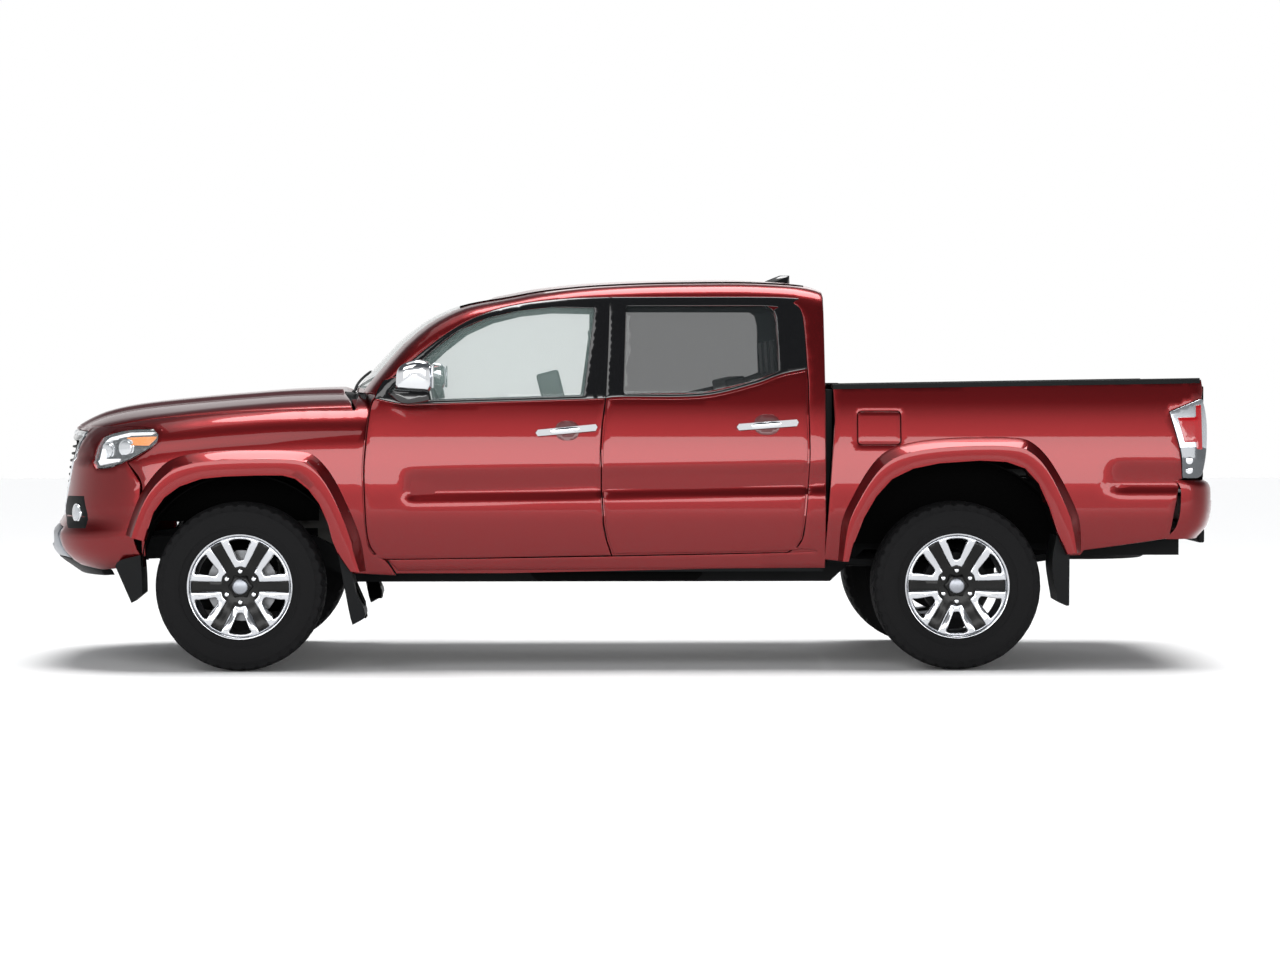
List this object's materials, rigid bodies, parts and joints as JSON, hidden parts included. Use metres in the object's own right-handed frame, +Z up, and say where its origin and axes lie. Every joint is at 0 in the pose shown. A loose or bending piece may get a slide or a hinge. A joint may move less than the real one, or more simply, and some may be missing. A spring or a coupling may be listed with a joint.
{
  "type": "pickup truck",
  "caption": "Double-cab pickup truck with a short open load bed, hinged doors, bonnet and tailgate, steered front wheels and full-size running gear.",
  "frame": {"origin": "on the ground, at the middle of the overall length and width", "axes": "+X towards the tail, +Y towards the truck's right-hand side, +Z up"},
  "size_m": [5.3877, 2.232, 1.812],
  "materials": {
    "red_paint": "deep metallic red lacquer",
    "side_glass": "clear, faintly green",
    "privacy_glass": "grey privacy tint",
    "lamp_lens": "clear lamp cover",
    "black_plastic": "fine grain",
    "liner_plastic": "rough",
    "chrome": "polished",
    "frame_steel": "black chassis paint",
    "cast_metal": "as cast",
    "tyre_rubber": "matt rubber",
    "seat_leather": "dark hide"
  },
  "bodies": {
    "chassis": {"cab_shell": "red_paint", "fender_left": "red_paint", "fender_right": "red_paint", "front_bumper": "red_paint", "rear_bumper": "red_paint", "bed_side_left": "red_paint", "bed_side_right": "red_paint", "windscreen": "side_glass", "rear_window": "privacy_glass", "grille": "black_plastic", "cowl_panel": "black_plastic", "headlamp_left": "lamp_lens", "headlamp_right": "lamp_lens", "tail_lamp_left": "lamp_lens", "tail_lamp_right": "lamp_lens", "bed_tub": "liner_plastic", "front_liner_left": "liner_plastic", "front_liner_right": "liner_plastic", "antenna_fin": "black_plastic", "ladder_frame": "frame_steel", "rear_axle": "frame_steel", "rear_spring_left": "frame_steel", "rear_spring_right": "frame_steel", "front_suspension": "frame_steel", "engine_gearbox": "cast_metal", "propeller_shaft": "frame_steel", "fuel_tank": "liner_plastic", "exhaust": "frame_steel", "spare_wheel": "tyre_rubber", "seat_front_left": "seat_leather", "seat_front_right": "seat_leather", "seat_rear": "seat_leather", "dashboard": "black_plastic"},
    "hood": {"hood": "red_paint"},
    "tailgate": {"tailgate": "red_paint"},
    "fuel_flap": {"fuel_flap": "red_paint"},
    "front_door_left": {"front_door_left": "red_paint", "front_door_glass_left": "side_glass", "mirror_left": "chrome"},
    "front_door_right": {"front_door_right": "red_paint", "front_door_glass_right": "side_glass", "mirror_right": "chrome"},
    "rear_door_left": {"rear_door_left": "red_paint", "rear_door_glass_left": "privacy_glass"},
    "rear_door_right": {"rear_door_right": "red_paint", "rear_door_glass_right": "privacy_glass"},
    "steer_left": {"knuckle_left": "cast_metal"},
    "steer_right": {"knuckle_right": "cast_metal"},
    "wheel_front_left": {"tyre_front_left": "tyre_rubber", "rim_front_left": "chrome"},
    "wheel_front_right": {"tyre_front_right": "tyre_rubber", "rim_front_right": "chrome"},
    "wheel_rear_left": {"tyre_rear_left": "tyre_rubber", "rim_rear_left": "chrome"},
    "wheel_rear_right": {"tyre_rear_right": "tyre_rubber", "rim_rear_right": "chrome"},
    "steering_wheel": {"steering_wheel": "black_plastic"},
    "rack": {"steering_rack": "frame_steel"}
  },
  "joints": [
    {"name": "hood_lift", "type": "hinge", "parent": "chassis", "child": "hood", "pos_m": [-1.267, 0, 1.236], "axis": [0, 1, 0], "range_deg": [0, 50]},
    {"name": "tailgate_drop", "type": "hinge", "parent": "chassis", "child": "tailgate", "pos_m": [2.6, 0, 0.823], "axis": [0, 1, 0], "range_deg": [0, 88]},
    {"name": "fuel_flap_swing", "type": "hinge", "parent": "chassis", "child": "fuel_flap", "pos_m": [1.033, -0.892, 1.095], "axis": [0, 0, -1], "range_deg": [0, 85]},
    {"name": "front_door_left_swing", "type": "hinge", "parent": "chassis", "child": "front_door_left", "pos_m": [-1.169, -0.897, 0.9], "axis": [0, 0, -1], "range_deg": [0, 65]},
    {"name": "rear_door_left_swing", "type": "hinge", "parent": "chassis", "child": "rear_door_left", "pos_m": [-0.119, -0.897, 0.9], "axis": [0, 0, -1], "range_deg": [0, 65]},
    {"name": "steer_left_turn", "type": "hinge", "parent": "chassis", "child": "steer_left", "pos_m": [-1.759, -0.695, 0.382], "axis": [0, 0, 1], "range_deg": [-32, 32]},
    {"name": "wheel_front_left_spin", "type": "hinge", "parent": "steer_left", "child": "wheel_front_left", "pos_m": [-1.759, -0.8, 0.382], "axis": [0, 1, 0], "continuous": true},
    {"name": "wheel_rear_left_spin", "type": "hinge", "parent": "chassis", "child": "wheel_rear_left", "pos_m": [1.477, -0.803, 0.382], "axis": [0, 1, 0], "continuous": true},
    {"name": "front_door_right_swing", "type": "hinge", "parent": "chassis", "child": "front_door_right", "pos_m": [-1.169, 0.897, 0.9], "axis": [0, 0, 1], "range_deg": [0, 65]},
    {"name": "rear_door_right_swing", "type": "hinge", "parent": "chassis", "child": "rear_door_right", "pos_m": [-0.119, 0.897, 0.9], "axis": [0, 0, 1], "range_deg": [0, 65]},
    {"name": "steer_right_turn", "type": "hinge", "parent": "chassis", "child": "steer_right", "pos_m": [-1.759, 0.695, 0.382], "axis": [0, 0, 1], "range_deg": [-32, 32]},
    {"name": "wheel_front_right_spin", "type": "hinge", "parent": "steer_right", "child": "wheel_front_right", "pos_m": [-1.759, 0.8, 0.382], "axis": [0, 1, 0], "continuous": true},
    {"name": "wheel_rear_right_spin", "type": "hinge", "parent": "chassis", "child": "wheel_rear_right", "pos_m": [1.477, 0.803, 0.382], "axis": [0, 1, 0], "continuous": true},
    {"name": "steering_wheel_turn", "type": "hinge", "parent": "chassis", "child": "steering_wheel", "pos_m": [-0.859, -0.37, 1.14], "axis": [0.9063, 0, 0.4226], "range_deg": [-500, 500]},
    {"name": "rack_slide", "type": "slide", "parent": "chassis", "child": "rack", "axis": [0, 1, 0], "range_m": [-0.09, 0.09]}
  ],
  "couplings": [
    {"joint": "steer_right_turn", "follows": "steer_left_turn", "ratio": 1},
    {"joint": "steering_wheel_turn", "follows": "steer_left_turn", "ratio": 15},
    {"joint": "rack_slide", "follows": "steer_left_turn", "m_per_rad": 0.14}
  ]
}
